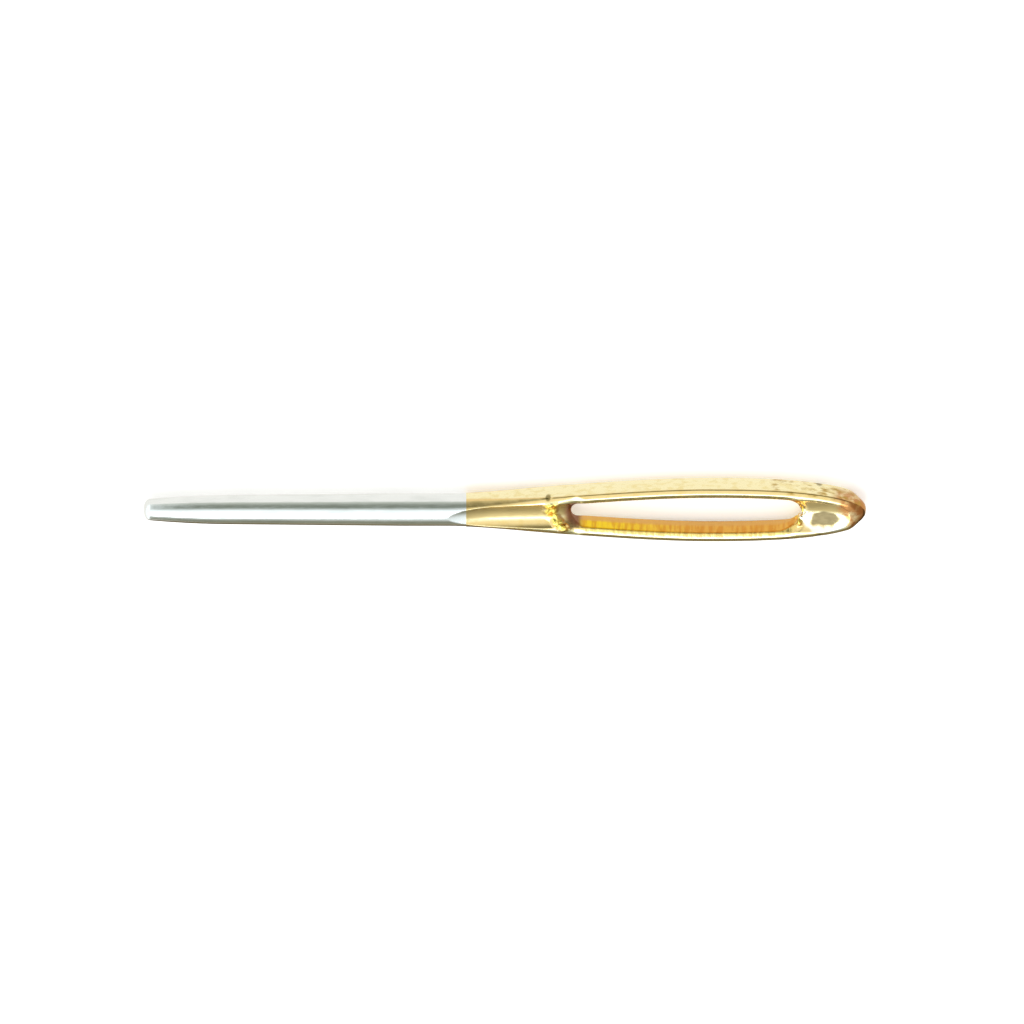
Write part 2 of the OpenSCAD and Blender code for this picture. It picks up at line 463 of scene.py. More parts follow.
@dataclass
class LoftedCoat:
    """One coat of the needle, lofted as a quarter and mirrored.

    A grid is laid along the needle, one row of its points for each row of the section. Its
    points are seated on the form, the wall's rows are cut away where there is no eye, and the
    quarter is mirrored across both middle planes and closed at its ends.
    """

    form: NeedleForm
    depth: float
    name: str
    rows: SectionRows = field(default_factory=SectionRows)

    def stations(self) -> list[float]:
        """Returns the places of the sections along the needle, in millimetres."""
        raise NotImplementedError

    def sunk(self, x: float) -> float:
        """Returns how deep this coat lies at x, below the outside of the gold."""
        return self.depth

    def head_stations(self, start: float) -> list[float]:
        """Places the head's sections, closest together at the ends of the eye.

        Args:
            start: The first section.

        Returns:
            The sections up to the one next to the crown's end.
        """
        f = self.form
        d = self.sunk(f.length)
        x0, x1 = f.eye_x0 - d, f.eye_x1 + d
        roll0, roll1 = f.eye_x0 - f.start_roll_l, f.eye_x1 + f.end_roll_l
        in0, in1 = f.eye_x0 + f.eye_start_l, f.eye_x1 - f.eye_end_l
        end = f.length - d
        places = spread(start, roll0, 60)
        places += [roll0 + (x0 - roll0) * math.sin(math.pi / 2 * i / 18) for i in range(1, 19)]
        places += [in0 - (in0 - x0) * math.cos(math.pi / 2 * i / 18) for i in range(1, 19)]
        places += spread(in0, in1, 110)[1:]
        places += [in1 + (x1 - in1) * math.sin(math.pi / 2 * i / 22) for i in range(1, 23)]
        places += [roll1 - (roll1 - x1) * math.cos(math.pi / 2 * i / 14) for i in range(1, 15)]
        places += [
            roll1 + (end - roll1) * math.sin(math.radians(89.0) * i / 40) for i in range(1, 41)
        ]
        return places

    def section(self, x: float) -> list[tuple[float, float]]:
        """Works out a quarter section, from the eye's middle plane to the outer wall's.

        Args:
            x: Place of the section, in millimetres.

        Returns:
            The y and z of each row's point.
        """
        f, d, rows = self.form, self.sunk(x), self.rows
        inner, outer = f.eye_half_w(x, d), f.half_w(x, d)
        corner = f.corner_w(x, d)
        long = f.roll_size(x, d)[1]
        straight = outer - corner
        ridge = min(f.ridge_y(x, d), outer * 0.985)
        rolled = min(inner + min(long, 0.6), inner + (outer - inner) * 0.45)
        ridge = max(ridge, rolled + (outer - rolled) * 0.1)
        land = max(straight, ridge + (outer - ridge) * 0.04)
        turn0 = math.asin(clamped((land - straight) / corner))
        ys = [inner + (rolled - inner) * (1 - math.cos(math.pi / 2 * i / rows.roll))
              for i in range(rows.roll)]
        ys += spread(rolled, ridge, rows.gutter)[:-1]
        ys += spread(ridge, land, rows.land)[:-1]
        ys += [straight + corner * math.sin(turn0 + (math.pi / 2 - turn0) * i / rows.corner)
               for i in range(rows.corner + 1)]
        top = [(y, f.top_z(x, y, d)) for y in ys]
        top[-1] = (outer, 0.0)
        lip = top[0][1]
        wall = [(inner, lip * i / rows.wall) for i in range(rows.wall)]
        return wall + top

    def build(self) -> bpy.types.Object:
        """Models the coat.

        Returns:
            The finished closed piece, with its place in its mesh.
        """
        xs = self.stations()
        coat = self._grid(len(xs) - 1)
        self._seat(coat, xs)
        self._cut_wall(coat, xs)
        self._mirror(coat)
        self._close(coat)
        return coat

    def _grid(self, steps: int) -> bpy.types.Object:
        """Lays the grid that becomes a quarter of the coat.

        Args:
            steps: How many columns of faces run along the needle.

        Returns:
            The new grid.
        """
        bpy.ops.object.select_all(action="DESELECT")
        bpy.ops.mesh.primitive_grid_add(
            x_subdivisions=steps,
            y_subdivisions=self.rows.total,
            size=1.0,
            location=(0.0, 0.0, 0.0),
        )
        coat = bpy.context.object
        coat.name = self.name
        coat.data.name = self.name
        return coat

    def _seat(self, coat: bpy.types.Object, xs: Sequence[float]) -> None:
        """Seats the grid's points on the form and marks how deep each lies in the eye.

        Args:
            coat: The grid.
            xs: Places of the sections, one for each line of points across the grid.
        """
        sections = [self.section(x) for x in xs]
        half = self.form.length / 2.0
        steps, rows = len(xs) - 1, self.rows.total
        marks = coat.data.attributes.new("eye_wall", "FLOAT", "POINT")
        values: list[float] = []
        for vertex in coat.data.vertices:
            i = round((vertex.co.x + 0.5) * steps)
            j = round((vertex.co.y + 0.5) * rows)
            y, z = sections[i][j]
            vertex.co = Vector((xs[i] - half, y, z)) * MM
            inside = self.form.eye_half_w(xs[i], 0.0) > 0.0
            into = 1.0 - clamped((j - self.rows.wall) / self.rows.roll)
            values.append(into if inside else 0.0)
        marks.data.foreach_set("value", values)

    def _cut_wall(self, coat: bpy.types.Object, xs: Sequence[float]) -> None:
        """Cuts away the wall's rows outside the eye, where they would lie on the middle plane.

        Args:
            coat: The seated quarter.
            xs: Places of the sections; not used.
        """
        bpy.ops.object.mode_set(mode="EDIT")
        bpy.ops.mesh.select_mode(type="FACE")
        mesh = bmesh.from_edit_mesh(coat.data)
        for face in mesh.faces:
            flat = all(abs(v.co.y) < 1e-8 for v in face.verts)
            face.select_set(flat)
        bmesh.update_edit_mesh(coat.data)
        bpy.ops.mesh.delete(type="FACE")
        bpy.ops.mesh.select_all(action="SELECT")
        bpy.ops.mesh.remove_doubles(threshold=1e-8)
        bpy.ops.object.mode_set(mode="OBJECT")

    def _mirror(self, coat: bpy.types.Object) -> None:
        """Mirrors the quarter across both middle planes.

        Args:
            coat: The cut quarter.
        """
        bpy.ops.object.modifier_add(type="MIRROR")
        mirror = coat.modifiers[-1]
        mirror.use_axis = (False, True, True)
        mirror.use_clip = True
        mirror.merge_threshold = 1e-7
        bpy.ops.object.modifier_apply(modifier=mirror.name)

    def _close(self, coat: bpy.types.Object) -> None:
        """Draws the crown's last ring in to its pole, and turns all faces outwards.

        Args:
            coat: The mirrored coat.
        """
        end = (self.form.length / 2.0 - self.sunk(self.form.length)) * MM
        bpy.ops.object.mode_set(mode="EDIT")
        bpy.ops.mesh.select_mode(type="EDGE")
        bpy.ops.mesh.select_all(action="DESELECT")
        mesh = bmesh.from_edit_mesh(coat.data)
        far = max(v.co.x for v in mesh.verts)
        for edge in mesh.edges:
            edge.select_set(edge.is_boundary and all(v.co.x > far - 1e-7 for v in edge.verts))
        bmesh.update_edit_mesh(coat.data)
        bpy.ops.mesh.extrude_region_move(TRANSFORM_OT_translate={"value": (end - far, 0.0, 0.0)})
        bpy.ops.mesh.merge(type="CENTER")
        bpy.ops.mesh.select_all(action="SELECT")
        bpy.ops.mesh.remove_doubles(threshold=1e-7)
        bpy.ops.mesh.normals_make_consistent(inside=False)
        bpy.ops.object.mode_set(mode="OBJECT")


@dataclass
class NickelCoat(LoftedCoat):
    """The nickel, from the blunt tip to the crown. Under the gold it lies a little deeper."""

    depth: float = Coat.NICKEL.value
    name: str = "nickel_coat"
    under_gold: float = 0.09

    def stations(self) -> list[float]:
        """Returns the sections, close together at the tip and on the flattening."""
        f = self.form
        tip = [f.tip_round_l * (1 - math.cos(math.radians(90.0) * i / 16)) for i in range(1, 17)]
        shaft = spread(f.tip_round_l, f.point_l, 24)[1:] + spread(f.point_l, f.shaft_l, 36)[1:]
        bare = spread(f.shaft_l, f.gold_x + 0.5, 24)[1:]
        return tip + shaft + bare + self.head_stations(f.gold_x + 0.5)[1:]

    def sunk(self, x: float) -> float:
        """Returns the coat's depth at x: its own where it shows, and more under the gold."""
        covered = smooth((x - self.form.gold_x - 0.4) / 1.5)
        return self.depth + (self.under_gold - self.depth) * covered

    def _close(self, coat: bpy.types.Object) -> None:
        """Closes the tip with a pole of its own, then the crown.

        Args:
            coat: The mirrored coat.
        """
        bpy.ops.object.mode_set(mode="EDIT")
        bpy.ops.mesh.select_mode(type="EDGE")
        bpy.ops.mesh.select_all(action="DESELECT")
        mesh = bmesh.from_edit_mesh(coat.data)
        near = min(v.co.x for v in mesh.verts)
        for edge in mesh.edges:
            edge.select_set(edge.is_boundary and all(v.co.x < near + 1e-7 for v in edge.verts))
        bmesh.update_edit_mesh(coat.data)
        start = -self.form.length / 2.0 * MM
        bpy.ops.mesh.extrude_region_move(
            TRANSFORM_OT_translate={"value": (start - near, 0.0, 0.0)}
        )
        bpy.ops.mesh.merge(type="CENTER")
        bpy.ops.object.mode_set(mode="OBJECT")
        super()._close(coat)


@dataclass
class GoldCoat(LoftedCoat):
    """The gold skin on the head, with the burrs, pits and nicks that pressing left."""

    depth: float = Coat.GOLD.value
    name: str = "gold_coat"
    nicks: tuple[tuple[float, float, float], ...] = ((-21.0, 1.0, 0.26), (1.5, -1.0, 0.3))
    nick_z: float = 0.85
    nick_h: float = 0.3
    nick_depth: float = 0.02
    burr_h: float = 0.32
    wave_h: float = 0.006
    patch: tuple[float, float] = (1.95, -0.4)
    patch_size: tuple[float, float] = (1.2, 0.7)
    patch_edge: float = 1.15

    def stations(self) -> list[float]:
        """Returns the sections from the gold's edge to the crown."""
        return self.head_stations(self.form.gold_x)

    def build(self) -> bpy.types.Object:
        """Models the skin, works its damage in and gives it its thickness.

        Returns:
            The finished closed skin.
        """
        coat = super().build()
        self._work(coat)
        bpy.ops.object.select_all(action="DESELECT")
        coat.select_set(True)
        bpy.context.view_layer.objects.active = coat
        bpy.ops.object.modifier_add(type="SOLIDIFY")
        skin = coat.modifiers[-1]
        skin.thickness = self.form.gold_t * MM
        skin.offset = -1.0
        bpy.ops.object.modifier_apply(modifier=skin.name)
        return coat

    def _work(self, coat: bpy.types.Object) -> None:
        """Moves the skin's points along their normals for the burrs, nicks and waves, and stores
        its marks, among them masks for painted shade and a painted highlight.

        Args:
            coat: The closed outer surface.
        """
        half = self.form.length / 2.0
        # Several of these marks are masks for painted shade and a painted highlight, which the
        # gold's colours use.
        names = ("burr", "nick", "worn", "matt", "bright", "crown_brown", "ramp", "gutter", "edge")
        marks: dict[str, list[float]] = {name: [] for name in names}
        normals = [vertex.normal.copy() for vertex in coat.data.vertices]
        for vertex, normal in zip(coat.data.vertices, normals):
            x, y, z = vertex.co / MM
            x, y = x + half, y if z >= 0.0 else -y
            burr, nick = self._burr(x, y, z), self._nick(x, y, z)
            marks["burr"].append(burr)
            marks["nick"].append(nick)
            marks["worn"].append(self._wear(x, y))
            marks["matt"].append(self._matt_and_painted_shade(x, y))
            marks["bright"].append(self._painted_highlight(x, y))
            marks["edge"].append(self._painted_edge_shade(normal))
            marks["crown_brown"].append(self._crown_brown(x, y, z))
            marks["ramp"].append(self._painted_ramp_shade(x, y))
            marks["gutter"].append(self._gutter_dullness_and_shade(x, y))
            vertex.co += normal * self._relief(Vector((x, y, z)), burr, nick) * MM
        for name, values in marks.items():
            coat.data.attributes.new(name, "FLOAT", "POINT").data.foreach_set("value", values)

    def _burr(self, x: float, y: float, z: float) -> float:
        """How much of the burr at the eye's ends a point has.

        Args:
            x: Place along the needle.
            y: Place across it, on the side that the mark is on.
            z: Height above the axis.

        Returns:
            The share from 0 to 1.
        """
        f = self.form
        ragged = 0.22 * noise.noise(Vector((x, y, z)) * 1.9)
        bow = f.eye_x0 - 1.62 + 0.28 * (y - 0.4) ** 2 - 0.12 * y
        start = clamped(1.5 - abs(x - bow + ragged) / 0.46) * smooth((1.55 - abs(y + 0.1)) / 0.4)
        edge = f.eye_x1 + 0.25 - 0.5 * (y + 0.1) ** 2
        end = clamped(1.4 - abs(x - edge + ragged) / 0.26) * smooth((1.3 - abs(y)) / 0.4)
        return min(max(start, 0.9 * end), 1.0)

    def _nick(self, x: float, y: float, z: float) -> float:
        """How much a point lies in one of the nicks on the head's outer edges.

        Args:
            x: Place along the needle.
            y: Place across it, on the side that the mark is on.
            z: Height above the axis.

        Returns:
            The share from 0 to 1.
        """
        f = self.form
        deep = 0.0
        for past_eye, side, long in self.nicks:
            if y * side > 0.0:
                off = (x - f.eye_x1 - past_eye) / long
                away = math.hypot(off, (abs(z) - self.nick_z) / self.nick_h)
                edge = smooth((abs(y) - f.half_w(x, 0.0) + 0.5) / 0.3)
                deep = max(deep, clamped(1.4 - away) * edge)
        return min(deep, 1.0)

    def _wear(self, x: float, y: float) -> float:
        """How pitted the surface is at a point: most on the walls near the crown."""
        f = self.form
        wall = smooth((abs(y) - f.half_w(x, 0.0) + 0.34) / 0.25)
        return wall * smooth((x - f.eye_x1 + 2.9) / 1.2)

    def _matt_and_painted_shade(self, x: float, y: float) -> float:
        """How much a point lies in the dull patch at the bottom of the crown's gutter: it is
        rougher, and its grey colour paints the shade of the dark reflection in the dish.
        """
        return smooth((self.patch_edge - self._from_patch(x, y)) / 0.3)

    def _painted_highlight(self, x: float, y: float) -> float:
        """How much painted highlight a point has: a near-white ring on the gutter's rim round the
        matt patch.
        """
        away = self._from_patch(x, y)
        return smooth((away - 1.0) / 0.2) * smooth((1.85 - away) / 0.4) * smooth((0.3 - y) / 0.5)

    def _from_patch(self, x: float, y: float) -> float:
        """Distance from the matt patch's middle in shares of its size, made ragged by noise."""
        (along, across), (long, wide) = self.patch, self.patch_size
        away = math.hypot((x - self.form.eye_x1 - along) / long, (y - across) / wide)
        return away - 0.35 * noise.noise(Vector((x, y, 0.0)) * 1.7)

    def _painted_edge_shade(self, normal: Vector) -> float:
        """How much a point lies on a sloped or rounded face, where a deeper gold paints the shade
        of its dark reflection lines.
        """
        tilt = math.degrees(math.atan2(abs(normal.y), abs(normal.z)))
        return smooth((tilt - 12.0) / 12.0) * smooth((80.0 - tilt) / 14.0)

    def _crown_brown(self, x: float, y: float, z: float) -> float:
        """How brown a point is: the crown's end is, more on one side."""
        f = self.form
        lean = x + 0.4 * y + 0.3 * noise.noise(Vector((x, y, z)) * 1.4)
        return smooth((lean - f.length + 2.3) / 0.8)

    def _painted_ramp_shade(self, x: float, y: float) -> float:
        """How far a point lies down the ramp into the eye's start, where a brown colour paints the
        shade at the eye's end.

        Args:
            x: Place along the needle.
            y: Place across it, on the side that the mark is on.

        Returns:
            The share from 0 to 1.
        """
        f = self.form
        if x > f.eye_x0 + f.eye_start_l:
            return 0.0
        down = smooth(f.edge_drop(x, abs(y), 0.0) / f.roll_h * 2.5 - 0.4)
        return down * smooth((f.eye_x0 + 1.1 - x) / 0.6)

    def _gutter_dullness_and_shade(self, x: float, y: float) -> float:
        """How much a point lies in one half of a gutter, which is rougher and where a darker
        colour paints the shade of its dark reflection.

        Args:
            x: Place along the needle.
            y: Place across it, on the side that the mark is on.

        Returns:
            The share from 0 to 1.
        """
        f = self.form
        if f.eye_x0 < x < f.eye_x1:
            return 0.0
        ridge = max(f.ridge_y(x, 0.0), 0.05)
        across = smooth((ridge - y) / (0.25 * ridge))
        if x < f.eye_x0:
            return smooth((f.eye_x0 - x) / 0.5) * across * smooth((y + 0.55) / 0.5)
        return smooth((x - f.eye_x1 - 0.2) / 0.5) * across * smooth((y - 0.1) / 0.3)

    def _relief(self, place: Vector, burr: float, nick: float) -> float:
        """How far the surface stands out at a point, in millimetres.

        Args:
            place: The point.
            burr: How much of a burr it has.
            nick: How deep it lies in a nick.

        Returns:
            The height, which is less than 0 in a nick.
        """
        rough = abs(noise.noise(place * 1.7)) + 0.3 * abs(noise.noise(place * 3.7))
        waves = self.wave_h * noise.noise(place * 1.3)
        return waves + burr * (self.burr_h * rough - 0.02) - self.nick_depth * nick


class NodeSheet:
    """A material's node tree, laid out by small methods that name what they add."""

    def __init__(self, name: str) -> None:
        """Starts an empty material.

        Args:
            name: The material's name.
        """
        self.material = bpy.data.materials.new(name)
        self.material.use_nodes = True
        self.nodes = self.material.node_tree.nodes
        self.links = self.material.node_tree.links
        self.nodes.clear()
        self.output = self.nodes.new("ShaderNodeOutputMaterial")
        self.shader = self.nodes.new("ShaderNodeBsdfPrincipled")
        self.links.new(self.shader.outputs["BSDF"], self.output.inputs["Surface"])
        self.place = self.nodes.new("ShaderNodeTexCoord").outputs["Object"]

    def stretched(self, scale: Point) -> bpy.types.NodeSocket:
        """Adds Object coordinates in millimetres, scaled along each axis.

        Args:
            scale: How much finer the pattern gets along x, y and z.

        Returns:
            The coordinates.
        """
        mapping = self.nodes.new("ShaderNodeMapping")
        mapping.inputs["Scale"].default_value = [v / MM for v in scale]
        self.links.new(self.place, mapping.inputs["Vector"])
        return mapping.outputs["Vector"]

    def grain(self, scale: Point, size: float, detail: float = 3.0) -> bpy.types.NodeSocket:
        """Adds a noise pattern.

        Args:
            scale: Stretch along each axis.
            size: Cells per millimetre.
            detail: How many finer layers it has.

        Returns:
            The noise from 0 to 1.
        """
        pattern = self.nodes.new("ShaderNodeTexNoise")
        pattern.inputs["Scale"].default_value = size
        pattern.inputs["Detail"].default_value = detail
        self.links.new(self.stretched(scale), pattern.inputs["Vector"])
        return pattern.outputs["Fac"]

    def ramp(
        self, source: bpy.types.NodeSocket, low: float, high: float, start: float, end: float
    ) -> bpy.types.NodeSocket:
        """Maps a value from one range to another with soft ends.

        Args:
            source: The value.
            low: Where the source's range starts.
            high: Where it ends.
            start: What low becomes.
            end: What high becomes.

        Returns:
            The mapped value.
        """
        node = self.nodes.new("ShaderNodeMapRange")
        node.interpolation_type = "SMOOTHSTEP"
        ends = {"From Min": low, "From Max": high, "To Min": start, "To Max": end}
        for name, value in ends.items():
            node.inputs[name].default_value = value
        self.links.new(source, node.inputs["Value"])
        return node.outputs["Result"]

    def times(self, a: bpy.types.NodeSocket, b: bpy.types.NodeSocket) -> bpy.types.NodeSocket:
        """Returns the product of two values."""
        return self._reckoned("MULTIPLY", a, b)

    def blended(
        self,
        a: bpy.types.ShaderNode,
        b: bpy.types.ShaderNode,
        share: bpy.types.NodeSocket | float,
    ) -> bpy.types.ShaderNode:
        """Mixes two shaders.

        Args:
            a: The shader where the share is 0.
            b: The shader where it is 1.
            share: How much of b there is, or the socket that gives it.

        Returns:
            The mix.
        """
        mix = self.nodes.new("ShaderNodeMixShader")
        if isinstance(share, float):
            mix.inputs[0].default_value = share
        else:
            self.links.new(share, mix.inputs[0])
        self.links.new(a.outputs[0], mix.inputs[1])
        self.links.new(b.outputs[0], mix.inputs[2])
        return mix

    def plus(self, a: bpy.types.NodeSocket, b: bpy.types.NodeSocket) -> bpy.types.NodeSocket:
        """Returns the sum of two values."""
        return self._reckoned("ADD", a, b)

    def _reckoned(
        self, operation: str, a: bpy.types.NodeSocket, b: bpy.types.NodeSocket
    ) -> bpy.types.NodeSocket:
        """Adds a sum of two values.

        Args:
            operation: What is done with them.
            a: The first value.
            b: The second value.

        Returns:
            The outcome.
        """
        node = self.nodes.new("ShaderNodeMath")
        node.operation = operation
        self.links.new(a, node.inputs[0])
        self.links.new(b, node.inputs[1])
        return node.outputs[0]

    def marked(self, name: str) -> bpy.types.NodeSocket:
        """Reads a mark that the piece carries on its points.

        Args:
            name: The attribute's name.

        Returns:
            The mark's value.
        """
        node = self.nodes.new("ShaderNodeAttribute")
        node.attribute_name = name
        return node.outputs["Fac"]

    def axis(self, letter: str) -> bpy.types.NodeSocket:
        """Reads one Object coordinate.

        Args:
            letter: X, Y or Z.

        Returns:
            The coordinate in millimetres.
        """
        split = self.nodes.new("ShaderNodeSeparateXYZ")
        self.links.new(self.stretched((1.0, 1.0, 1.0)), split.inputs[0])
        return split.outputs[letter]

    def tinted(
        self,
        below: bpy.types.NodeSocket | Colour,
        above: bpy.types.NodeSocket | Colour,
        share: bpy.types.NodeSocket,
    ) -> bpy.types.NodeSocket:
        """Lays one colour over another.

        Args:
            below: The colour under it, or the socket that gives it.
            above: The colour laid over it, or the socket that gives it.
            share: How much of it covers.

        Returns:
            The mixed colour.
        """
        mix = self.nodes.new("ShaderNodeMix")
        mix.data_type = "RGBA"
        for name, colour in (("A", below), ("B", above)):
            if isinstance(colour, tuple):
                mix.inputs[name].default_value = linear(colour)
            else:
                self.links.new(colour, mix.inputs[name])
        self.links.new(share, mix.inputs["Factor"])
        return mix.outputs["Result"]

    def embossed(
        self, height: bpy.types.NodeSocket, depth: float, below: bpy.types.NodeSocket | None = None
    ) -> bpy.types.NodeSocket:
        """Adds a relief to the surface.

        Args:
            height: The relief from 0 to 1.
            depth: Its depth in millimetres.
            below: A relief that this one lies on.

        Returns:
            The bumped normal.
        """
        bump = self.nodes.new("ShaderNodeBump")
        bump.inputs["Distance"].default_value = depth * MM
        self.links.new(height, bump.inputs["Height"])
        if below is not None:
            self.links.new(below, bump.inputs["Normal"])
        return bump.outputs["Normal"]


@dataclass(frozen=True)
class NickelFinish:
    """Polished nickel plate with faint lines along the drawn wire."""

    colour: Colour = (240, 244, 244)
    cloud: Colour = (216, 222, 220)
    roughness: tuple[float, float] = (0.1, 0.22)

    def material(self) -> bpy.types.Material:
        """Returns the finish as a material."""
        sheet = NodeSheet("polished_nickel")
        sheet.shader.inputs["Metallic"].default_value = 1.0
        lines = sheet.grain((0.12, 1.0, 1.0), 9.0)
        cloud = sheet.ramp(sheet.grain((0.35, 1.0, 1.0), 0.8, 2.0), 0.4, 0.75, 0.0, 0.5)
        colour = sheet.tinted(self.colour, self.cloud, cloud)
        sheet.links.new(colour, sheet.shader.inputs["Base Color"])
        rough = sheet.ramp(lines, 0.3, 0.7, *self.roughness)
        sheet.links.new(rough, sheet.shader.inputs["Roughness"])
        relief = sheet.embossed(lines, 0.0012)
        relief = sheet.embossed(sheet.grain((1.0, 1.0, 1.0), 1.6, 2.0), 0.004, relief)
        sheet.links.new(relief, sheet.shader.inputs["Normal"])
        return sheet.material


@dataclass(frozen=True)
class GoldFinish:
    """Polished gold plate, deeper in the eye, browner at the crown's end and pitted on the walls,
    with painted shade on its slopes, gutters, eye rim and crown dish and a painted highlight round
    that dish.
    """

    colour: Colour = (253, 243, 196)
    mottle: Colour = (238, 218, 148)
    eye_start: Colour = (255, 222, 40)
    eye_end: Colour = (236, 180, 76)
    eye_deep: Colour = (228, 176, 98)
    # Painted shade: a darker gold on the eye's rolled rim for its dark reflection.
    eye_rim_painted_shade: Colour = (228, 200, 122)
    striae: Colour = (214, 136, 30)
    burr: Colour = (255, 232, 110)
    # Painted shade: a grey for the dark reflection in the crown dish, which is also rougher.
    matt: Colour = (164, 150, 114)
    # Painted highlight: a near-white ring round the crown dish for its reflection of the white
    # ceiling.
    bright: Colour = (255, 252, 238)
    # Painted shade: a deeper gold for the dark reflection lines on sloped and rounded faces.
    edge: Colour = (228, 188, 112)
    pit: Colour = (120, 104, 52)
    # Painted shade: a brown on the ramp into the eye's start for the shade there.
    ramp: Colour = (164, 120, 92)
    # Painted shade: a darker colour in one half of each gutter for its dark reflection.
    gutter: Colour = (192, 172, 120)
    crown_brown: Colour = (196, 138, 82)
    smear: Colour = (184, 148, 68)
    roughness: tuple[float, float] = (0.08, 0.2)
    eye_turns_x: tuple[float, float] = (8.0, 17.0)
    eye_deep_z: tuple[float, float] = (0.1, -0.4)

    def material(self) -> bpy.types.Material:
        """Returns the finish as a material."""
        sheet = NodeSheet("polished_gold")
        sheet.shader.inputs["Metallic"].default_value = 1.0
        lines = sheet.grain((0.3, 1.0, 1.0), 7.0)
        eye, matt = sheet.marked("eye_wall"), sheet.marked("matt")
        punched = sheet.ramp(sheet.grain((1.0, 0.25, 0.12), 2.6, 3.0), 0.35, 0.65, 0.0, 1.0)
        colour = self._coloured(sheet, eye, matt, punched)
        sheet.links.new(colour, sheet.shader.inputs["Base Color"])
        rough = sheet.ramp(lines, 0.3, 0.7, *self.roughness)
        gutter, ramp = sheet.marked("gutter"), sheet.marked("ramp")
        for mark, more in ((matt, 0.5), (eye, 0.28), (gutter, 0.34), (ramp, 0.2)):
            rough = sheet.plus(rough, sheet.ramp(mark, 0.0, 1.0, 0.0, more))
        sheet.links.new(rough, sheet.shader.inputs["Roughness"])
        relief = sheet.embossed(lines, 0.0015)
        relief = sheet.embossed(sheet.times(punched, eye), 0.04, relief)
        jagged = sheet.times(sheet.grain((1.0, 1.0, 1.0), 2.2, 1.5), sheet.marked("burr"))
        relief = sheet.embossed(jagged, 0.2, relief)
        relief = sheet.embossed(sheet.grain((1.0, 1.0, 1.0), 1.1, 2.0), 0.006, relief)
        sheet.links.new(relief, sheet.shader.inputs["Normal"])
        return sheet.material

    def _coloured(
        self,
        sheet: NodeSheet,
        eye: bpy.types.NodeSocket,
        matt: bpy.types.NodeSocket,
        punched: bpy.types.NodeSocket,
    ) -> bpy.types.NodeSocket:
        """Lays the gold's colours over each other.

        Args:
            sheet: The material's nodes.
            eye: How far a point lies in the eye's wall.
            matt: How matt it is.
            punched: The wall's striations.

        Returns:
            The colour.
        """
        along = sheet.ramp(sheet.axis("X"), *self.eye_turns_x, 0.0, 1.0)
        burr = sheet.marked("burr")
        wall = sheet.tinted(self.eye_start, self.eye_end, along)
        wall = sheet.tinted(wall, self.striae, sheet.ramp(punched, 0.0, 1.0, 0.6, 0.0))
        low = sheet.ramp(sheet.axis("Z"), *self.eye_deep_z, 0.0, 0.9)
        wall = sheet.tinted(wall, self.eye_deep, low)
        mottled = sheet.ramp(sheet.grain((0.7, 1.0, 1.0), 1.9, 3.0), 0.45, 0.7, 0.0, 0.55)
        colour = sheet.tinted(self.colour, self.mottle, mottled)
        # Painted shade: sloped and rounded faces take a deeper gold for their dark reflection
        # lines.
        edge = sheet.ramp(sheet.marked("edge"), 0.0, 1.0, 0.0, 0.7)
        colour = sheet.tinted(colour, self.edge, edge)
        # Painted shade: one half of each gutter takes a darker colour for its dark reflection; it
        # is rougher there too.
        colour = sheet.tinted(colour, self.gutter, sheet.marked("gutter"))
        # Painted shade: the eye's rolled rim takes a darker gold for its dark reflection.
        colour = sheet.tinted(colour, self.eye_rim_painted_shade, sheet.ramp(eye, 0.05, 0.3, 0.0, 1.0))
        colour = sheet.tinted(colour, wall, sheet.ramp(eye, 0.5, 0.9, 0.0, 1.0))
        # Painted shade: the ramp into the eye's start takes a brown for the shade at the eye's
        # end.
        colour = sheet.tinted(colour, self.ramp, sheet.marked("ramp"))
        colour = sheet.tinted(colour, self.burr, sheet.ramp(burr, 0.2, 0.9, 0.0, 0.8))
        orange = sheet.ramp(sheet.grain((1.0, 1.0, 1.0), 1.7, 1.0), 0.52, 0.6, 0.0, 0.8)
        colour = sheet.tinted(colour, self.striae, sheet.times(orange, burr))
        # Painted highlight: a near-white ring round the crown dish.
        colour = sheet.tinted(colour, self.bright, sheet.marked("bright"))
        # Painted shade: the crown dish takes a grey for its dark reflection; its roughness is
        # raised too.
        colour = sheet.tinted(colour, self.matt, matt)
        spots = sheet.ramp(sheet.grain((1.0, 1.0, 1.0), 1.6, 5.0), 0.32, 0.6, 0.4, 1.0)
        colour = sheet.tinted(colour, self.crown_brown, sheet.times(sheet.marked("crown_brown"), spots))
        smears = sheet.ramp(sheet.grain((0.6, 1.0, 1.3), 1.9, 5.0), 0.46, 0.7, 0.0, 1.0)
        worn = sheet.ramp(sheet.marked("worn"), 0.1, 0.7, 0.0, 0.95)
        colour = sheet.tinted(colour, self.smear, sheet.times(smears, worn))
        nick = sheet.ramp(sheet.marked("nick"), 0.3, 0.8, 0.0, 0.8)
        return sheet.tinted(colour, self.pit, nick)


@dataclass(frozen=True)
class SteelFinish:
    """Drawn steel wire, which the nickel covers."""

    colour: Colour = (150, 152, 155)
    drawn: Colour = (118, 120, 122)
    roughness: tuple[float, float] = (0.25, 0.45)

    def material(self) -> bpy.types.Material:
        """Returns the finish as a material."""
        sheet = NodeSheet("drawn_steel")
        sheet.shader.inputs["Metallic"].default_value = 1.0
        lines = sheet.grain((0.1, 1.0, 1.0), 8.0)
        colour = sheet.tinted(self.colour, self.drawn, sheet.ramp(lines, 0.35, 0.7, 0.0, 1.0))
        sheet.links.new(colour, sheet.shader.inputs["Base Color"])
        rough = sheet.ramp(lines, 0.3, 0.7, *self.roughness)
        sheet.links.new(rough, sheet.shader.inputs["Roughness"])
        sheet.links.new(sheet.embossed(lines, 0.003), sheet.shader.inputs["Normal"])
        return sheet.material


